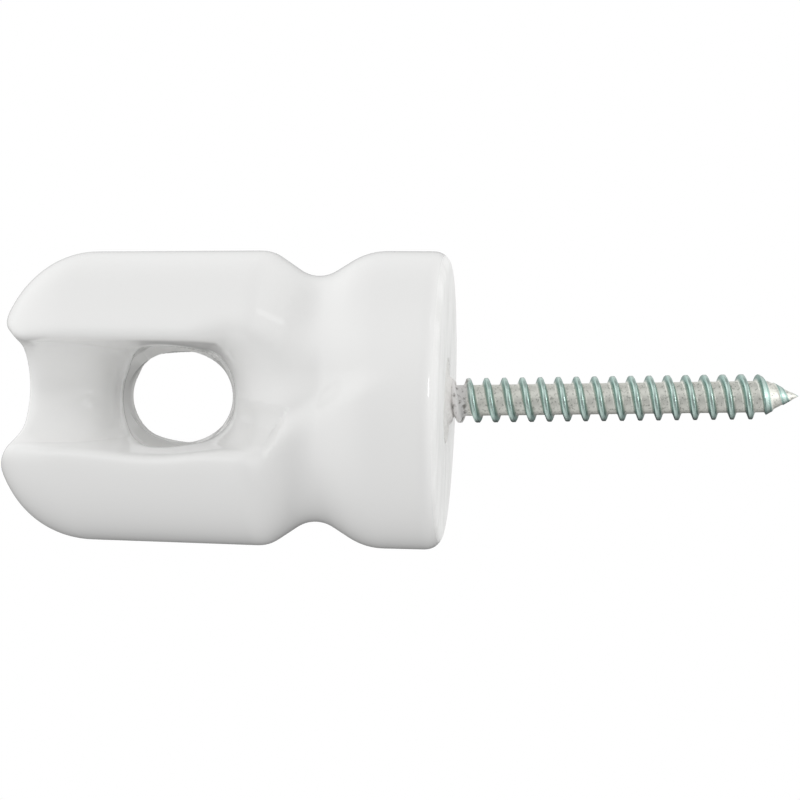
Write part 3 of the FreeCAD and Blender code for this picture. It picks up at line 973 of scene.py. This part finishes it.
@dataclass
class LagScrew:
    """Quarter-inch lag screw with ten threads per inch, square head buried in the grout."""

    pitch: float = 2.54
    root: float = 2.195
    crest: float = 3.175
    crest_width: float = 0.84
    foot_width: float = 1.36
    phase: float = 2.45              # where the crest crosses the side at +Y
    tip: float = 49.1
    root_cone: float = 4.3
    crest_cone: float = 5.6
    thread_from: float = 0.8
    shank: float = 2.9
    shank_end: float = 0.3
    head_half: float = 4.0
    head_foot: float = -20.4
    head_top: float = -17.2
    lean: float = 1.6
    squareness: float = 12.0         # how sharp the buried head's corners are
    sharp_from: float = 60.0         # degrees between faces that show an edge
    steps_per_pitch: int = 20
    steps_round: int = 72

    def sizes(self) -> dict[str, float]:
        """Name the tree's inputs.

        Returns:
            Input name to its value, in metres and radians.
        """
        lengths = {
            "Pitch": self.pitch, "Root": self.root, "Crest": self.crest, "Crest Width": self.crest_width,
            "Foot Width": self.foot_width, "Phase": self.phase, "Tip": self.tip, "Root Cone": self.root_cone,
            "Crest Cone": self.crest_cone, "Thread From": self.thread_from, "Shank": self.shank,
            "Shank End": self.shank_end, "Head Half": self.head_half, "Head Foot": self.head_foot,
            "Head Top": self.head_top}
        return {name: length * MM for name, length in lengths.items()} | {"Lean": math.radians(self.lean)}

    def tree(self) -> bpy.types.NodeTree:
        """Build the node tree: a grid wound along the thread and drawn out to its radius.

        Returns:
            The tree.
        """
        tree = bpy.data.node_groups.new("lag_screw_thread", "GeometryNodeTree")
        face = tree.interface
        face.new_socket("Geometry", in_out="OUTPUT", socket_type="NodeSocketGeometry")
        for name in self.sizes():
            face.new_socket(name, in_out="INPUT", socket_type="NodeSocketFloat")
        face.new_socket("Material", in_out="INPUT", socket_type="NodeSocketMaterial")
        size = add_node(tree, "NodeGroupInput").outputs

        turns = math.ceil((self.tip - self.head_foot) / self.pitch) + 2
        grid = add_node(tree, "GeometryNodeMeshGrid", {
            "Size X": 1.0, "Size Y": 1.0, "Vertices X": turns * self.steps_per_pitch + 1,
            "Vertices Y": self.steps_round + 1})
        spot = add_node(tree, "ShaderNodeSeparateXYZ", {0: add_node(tree, "GeometryNodeInputPosition").outputs[0]})
        known: dict[str, Any] = {name: size[name] for name in self.sizes()}
        known |= {"row": spot.outputs["X"], "turn": spot.outputs["Y"]}
        # Each step: its result, how it is worked out, and what from.
        for result, operation, *parts in (
                ("run", "MULTIPLY", "Pitch", float(turns)),
                ("ends", "ADD", "Tip", "Head Foot"),
                ("middle", "MULTIPLY", "ends", 0.5),
                ("straight", "MULTIPLY_ADD", "row", "run", "middle"),
                ("wound", "MULTIPLY_ADD", "turn", "Pitch", "straight"),
                ("short", "MAXIMUM", "wound", "Head Foot"),
                ("along", "MINIMUM", "short", "Tip"),
                ("angle", "MULTIPLY", "turn", math.tau),
                # How far a point is from the nearest crest, along the screw.
                ("crest at", "MULTIPLY_ADD", "turn", "Pitch", "Phase"),
                ("shift", "SUBTRACT", "along", "crest at"),
                ("half pitch", "MULTIPLY", "Pitch", 0.5),
                ("away", "PINGPONG", "shift", "half pitch"),
                ("half foot", "MULTIPLY", "Foot Width", 0.5),
                ("near crest", "MULTIPLY", "Crest Width", 0.25),
                ("full ridge", "SMOOTHSTEP", "away", "half foot", "near crest"),
                ("run in", "SMOOTHSTEP", "along", "Shank End", "Thread From"),
                ("ridge", "MULTIPLY", "full ridge", "run in"),
                # Root and crest both run down to the point.
                ("left", "SUBTRACT", "Tip", "along"),
                ("root share", "DIVIDE", "left", "Root Cone"),
                ("root part", "MINIMUM", "root share", 1.0),
                ("root", "MULTIPLY", "Root", "root part"),
                ("crest share", "DIVIDE", "left", "Crest Cone"),
                ("crest part", "MINIMUM", "crest share", 1.0),
                ("cone", "MULTIPLY", "Crest", "crest part"),
                ("height", "SUBTRACT", "Crest", "Root"),
                ("drawn", "MULTIPLY_ADD", "ridge", "height", "root"),
                ("capped", "MINIMUM", "drawn", "cone"),
                ("threaded", "MAXIMUM", "capped", "root"),
                # A square with rounded corners, as a power mean of the two half widths.
                ("cos", "COSINE", "angle"),
                ("sin", "SINE", "angle"),
                ("wide", "ABSOLUTE", "cos"),
                ("tall", "ABSOLUTE", "sin"),
                ("wide flat", "POWER", "wide", self.squareness),
                ("tall flat", "POWER", "tall", self.squareness),
                ("flats", "ADD", "wide flat", "tall flat"),
                ("mean", "POWER", "flats", 1.0 / self.squareness),
                ("square", "DIVIDE", "Head Half", "mean"),
                ("on head", "LESS_THAN", "along", "Head Top"),
                ("on shank", "LESS_THAN", "along", "Shank End"),
                ("head more", "SUBTRACT", "square", "Shank"),
                ("plain", "MULTIPLY_ADD", "head more", "on head", "Shank"),
                ("plain more", "SUBTRACT", "plain", "threaded"),
                ("whole", "MULTIPLY_ADD", "plain more", "on shank", "threaded"),
                # The head's foot closes to a point, so that the screw is one closed skin.
                ("foot", "ADD", "Head Foot", 1e-7),
                ("open", "GREATER_THAN", "along", "foot"),
                ("radius", "MULTIPLY", "whole", "open"),
                ("y", "MULTIPLY", "radius", "cos"),
                ("z", "MULTIPLY", "radius", "sin"),
                ("tilt", "MULTIPLY", "Lean", -1.0)):
            values = [known[part] if isinstance(part, str) else part for part in parts]
            if operation == "SMOOTHSTEP":
                ramp = add_node(tree, "ShaderNodeMapRange", dict(zip(("Value", "From Min", "From Max"), values)),
                                interpolation_type=operation)
                known[result] = ramp.outputs["Result"]
            else:
                known[result] = add_node(tree, "ShaderNodeMath", dict(enumerate(values)),
                                         operation=operation).outputs[0]
        marked = add_node(tree, "GeometryNodeStoreNamedAttribute", {
            "Geometry": grid.outputs["Mesh"], "Name": "ridge", "Value": known["ridge"]},
            data_type="FLOAT", domain="POINT")
        place = add_node(tree, "ShaderNodeCombineXYZ", {"X": known["along"], "Y": known["y"], "Z": known["z"]})
        leaned = add_node(tree, "ShaderNodeVectorRotate", {"Vector": place.outputs[0], "Angle": known["tilt"]},
                          rotation_type="Y_AXIS")
        drawn_out = add_node(tree, "GeometryNodeSetPosition", {
            "Geometry": marked.outputs[0], "Position": leaned.outputs[0]})
        merged = add_node(tree, "GeometryNodeMergeByDistance", {
            "Geometry": drawn_out.outputs[0], "Distance": 2e-6})
        real = add_node(tree, "GeometryNodeRealizeInstances", {"Geometry": merged.outputs[0]})
        dressed = add_node(tree, "GeometryNodeSetMaterial", {"Geometry": real.outputs[0],
                                                             "Material": size["Material"]})
        add_node(tree, "NodeGroupOutput", {0: dressed.outputs[0]})
        return tree

    def build(self, finish: ZincPlate) -> bpy.types.Object:
        """Run the tree and keep its mesh as a plain object.

        Args:
            finish: What it is dressed in.

        Returns:
            The piece.
        """
        tree = self.tree()
        values: dict[str, Any] = {**self.sizes(), "Material": finish.material()}
        blank = bpy.data.objects.new("thread_blank", bpy.data.meshes.new("thread_blank"))
        bpy.context.scene.collection.objects.link(blank)
        modifier = blank.modifiers.new("thread", "NODES")
        modifier.node_group = tree
        for item in tree.interface.items_tree:
            if item.in_out == "INPUT" and item.name in values:
                modifier[item.identifier] = values[item.name]
        bpy.context.view_layer.update()
        evaluated = blank.evaluated_get(bpy.context.evaluated_depsgraph_get())
        mesh = bpy.data.meshes.new_from_object(evaluated)
        blank.modifiers.remove(modifier)
        bpy.data.objects.remove(blank)
        mesh.shade_smooth()
        mesh.set_sharp_from_angle(angle=math.radians(self.sharp_from))
        piece = bpy.data.objects.new("lag_screw", mesh)
        bpy.context.scene.collection.objects.link(piece)
        LOG.info("lag_screw: %d faces", len(mesh.polygons))
        return piece


# ---------------------------------------------------------------- grout

@dataclass
class Grout:
    """The cast cement: a plug that fills the socket and a lumpy collar up the screw."""

    radius: float = 6.0
    depth: float = 22.99
    collar_height: float = 1.0
    collar_top: float = 2.6
    collar_foot: float = 4.0
    lean: float = 1.6
    shank: float = 2.85
    root: float = 2.12
    head_foot: float = -20.4
    bump: float = 0.16
    bump_size: float = 1.5
    grain: float = 0.08
    grain_size: float = 0.7
    bumps_from: float = -0.5
    bump_zone: Zone = (5.8, 4.2)
    face_slope: float = 0.7          # makes up for the collar's steep side
    edge_radius: float = 0.15
    shank_end: float = 0.1
    low: tuple[float, float, float] = (-23.6, -6.5, -6.5)
    high: tuple[float, float, float] = (2.6, 6.5, 6.5)
    cell: float = 0.25

    def distance(self, points: Array) -> Array:
        """Measure how far points are from the grout's surface.

        Args:
            points: Rows of points in millimetres.

        Returns:
            Signed distances, negative in the grout.
        """
        x, y, z = points.T
        out = np.hypot(y, z)
        bumps = self.bump * lumps(points, self.bump_size, seed=3)
        bumps = bumps + self.grain * lumps(points, self.grain_size, seed=4)
        rise = (out - self.collar_top) / (self.collar_foot - self.collar_top)
        level = self.collar_height * smooth_step(1.0, 0.0, rise)
        face = x - level - np.where(x > self.bumps_from, 1.0, 0.0) * bumps * smooth_step(*self.bump_zone, out)
        plug = np.maximum(out - self.radius, -self.depth - x)
        solid = soft_max(face * self.face_slope, plug, self.edge_radius)
        tilt = math.radians(self.lean)
        across = z * math.cos(tilt) - x * math.sin(tilt)
        bore = np.hypot(y, across) - np.where(x < self.shank_end, self.shank, self.root)
        return np.maximum(solid, -np.maximum(bore, self.head_foot - x))

    def build(self, finish: CementGrout) -> bpy.types.Object:
        """Mesh the grout and dress it.

        Args:
            finish: What it is dressed in.

        Returns:
            The piece.
        """
        net = SurfaceNet(self.low, self.high, self.cell, rounds=2)
        vertices, quads = net.build(self.distance)
        piece = mesh_from("cast_grout", vertices, quads, finish.material())
        LOG.info("cast_grout: %d quads", len(quads))
        return piece


# ---------------------------------------------------------------- studio

@dataclass(frozen=True)
class Glow:
    """One soft light on the room's wall: which way it lies, how bright, how narrow."""

    towards: tuple[float, float, float]
    strength: float
    falloff: float = 4.0


@dataclass(frozen=True)
class Softbox:
    """One lamp: where it hangs and what it faces in millimetres, its size, and its watts."""

    name: str
    at: tuple[float, float, float]
    aim: tuple[float, float, float]
    size: tuple[float, float]
    watts: float


@dataclass
class Studio:
    """Camera, lights and floor."""

    glows: tuple[Glow, ...] = (
        Glow((1.0, 0.0, 0.0), 1.38),
        Glow((-1.0, 0.0, 0.0), 0.54),
        Glow((0.0, 0.0, -1.0), 0.65),
        Glow((1.0, -1.0, 1.0), 0.51),
        Glow((-1.0, -1.0, 1.0), 1.36),
        Glow((-1.0, -1.0, -1.0), 0.86),
        Glow((1.0, -1.0, 0.0), 0.33),
        Glow((0.0, 1.0, 1.0), 0.14),
        Glow((1.0, 1.0, 0.0), 0.09),
        Glow((1.0, 1.0, 1.0), 0.59),
        Glow((-1.0, 1.0, 1.0), 0.96),
    )
    softboxes: tuple[Softbox, ...] = (
        Softbox("side_softbox", (307.0, -180.0, 42.0), (-50.0, 0.0, 0.0), (50.0, 70.0), 0.09),
        Softbox("high_side_softbox", (250.0, -109.0, 288.0), (-20.0, 0.0, 0.0), (70.0, 70.0), 0.016),
    )
    floor_level: float = -21.6
    floor_half_side: float = 6000.0
    camera_at: tuple[float, float, float] = (15.24, -217.25, 0.0)
    yaw: float = 5.785
    roll: float = 0.86
    lens_mm: float = 68.67

    def camera(self) -> None:
        """Stand the camera level with the object, looking nearly square on."""
        data = bpy.data.cameras.new("camera")
        data.lens = self.lens_mm
        data.sensor_width = 36.0
        data.clip_start = 0.005
        eye = bpy.data.objects.new("camera", data)
        yaw, roll = math.radians(self.yaw), math.radians(self.roll)
        right = Vector((math.cos(yaw), math.sin(yaw), 0.0))
        ahead = Vector((-math.sin(yaw), math.cos(yaw), 0.0))
        up = Vector((0.0, 0.0, 1.0))
        turned_right = right * math.cos(roll) + up * math.sin(roll)
        turned_up = up * math.cos(roll) - right * math.sin(roll)
        turn = Matrix((turned_right, turned_up, -ahead)).transposed().to_4x4()
        eye.matrix_world = Matrix.Translation(Vector(self.camera_at) * MM) @ turn
        bpy.context.scene.collection.objects.link(eye)
        bpy.context.scene.camera = eye

    def surroundings(self) -> None:
        """Wrap the set in a white room whose walls glow softly towards the lamps behind them."""
        world = bpy.data.worlds.new("white_room")
        world.use_nodes = True
        tree = world.node_tree
        tree.nodes.clear()
        way = add_node(tree, "ShaderNodeTexCoord").outputs["Generated"]
        white = (1.0, 1.0, 1.0, 1.0)
        total: Any = 0.0
        for glow in self.glows:
            unit = Vector(glow.towards).normalized()
            facing = add_node(tree, "ShaderNodeVectorMath", {0: way, 1: unit}, operation="DOT_PRODUCT")
            lit = add_node(tree, "ShaderNodeMath", {0: facing.outputs["Value"], 1: 0.0}, operation="MAXIMUM")
            soft = add_node(tree, "ShaderNodeMath", {0: lit.outputs[0], 1: glow.falloff}, operation="POWER")
            total = add_node(tree, "ShaderNodeMath", {0: soft.outputs[0], 1: glow.strength, 2: total},
                             operation="MULTIPLY_ADD").outputs[0]
        seen = add_node(tree, "ShaderNodeLightPath").outputs["Is Camera Ray"]
        room = add_node(tree, "ShaderNodeBackground", {"Color": white, "Strength": total})
        backdrop = add_node(tree, "ShaderNodeBackground", {"Color": white, "Strength": 1.0})
        mixed = add_node(tree, "ShaderNodeMixShader", {0: seen, 1: room.outputs[0], 2: backdrop.outputs[0]})
        add_node(tree, "ShaderNodeOutputWorld", {"Surface": mixed.outputs[0]})
        bpy.context.scene.world = world

    def floor(self) -> None:
        """Lay a plain white table top just under the object."""
        top = bpy.data.meshes.new("table_top")
        side, level = self.floor_half_side * MM, self.floor_level * MM
        corners = [(-side, -side, level), (side, -side, level), (side, side, level), (-side, side, level)]
        top.from_pydata(corners, [], [(0, 1, 2, 3)])
        finish, tree = new_finish("white_table")
        glow = add_node(tree, "ShaderNodeEmission", {"Color": (1.0, 1.0, 1.0, 1.0), "Strength": 1.0})
        add_node(tree, "ShaderNodeOutputMaterial", {"Surface": glow.outputs[0]})
        top.materials.append(finish)
        table = bpy.data.objects.new("table_top", top)
        for ray in ("diffuse", "glossy", "transmission", "shadow", "volume_scatter"):
            setattr(table, f"visible_{ray}", False)
        bpy.context.scene.collection.objects.link(table)

    def hang(self, box: Softbox) -> None:
        """Hang one softbox, turned to what it faces.

        Args:
            box: The softbox.
        """
        data = bpy.data.lights.new(box.name, "AREA")
        data.shape = "RECTANGLE"
        data.size, data.size_y = (side * MM for side in box.size)
        data.energy = box.watts
        lamp = bpy.data.objects.new(box.name, data)
        towards = (Vector(box.aim) - Vector(box.at)) * MM
        turn = towards.to_track_quat("-Z", "Y").to_matrix().to_4x4()
        lamp.matrix_world = Matrix.Translation(Vector(box.at) * MM) @ turn
        bpy.context.scene.collection.objects.link(lamp)

    def build(self) -> None:
        """Set up everything that isn't the object."""
        self.camera()
        self.surroundings()
        self.floor()
        for box in self.softboxes:
            self.hang(box)
        view = bpy.context.scene.view_settings
        view.view_transform = "Standard"
        view.look = "None"


def main() -> None:
    """Build the set and the object, and report each piece."""
    logging.basicConfig(level=logging.INFO, format="%(name)s: %(message)s")
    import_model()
    Studio().build()
    porcelain = PorcelainBody().build(GlazedPorcelain())
    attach(porcelain, "root")
    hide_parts("porcelain_body")
    screw = LagScrew().build(ZincPlate())
    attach(screw, "root")
    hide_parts("mounting_screw")
    grout = Grout().build(CementGrout())
    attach(grout, "root")
    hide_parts("cement_fill")


if __name__ == "__main__":
    main()
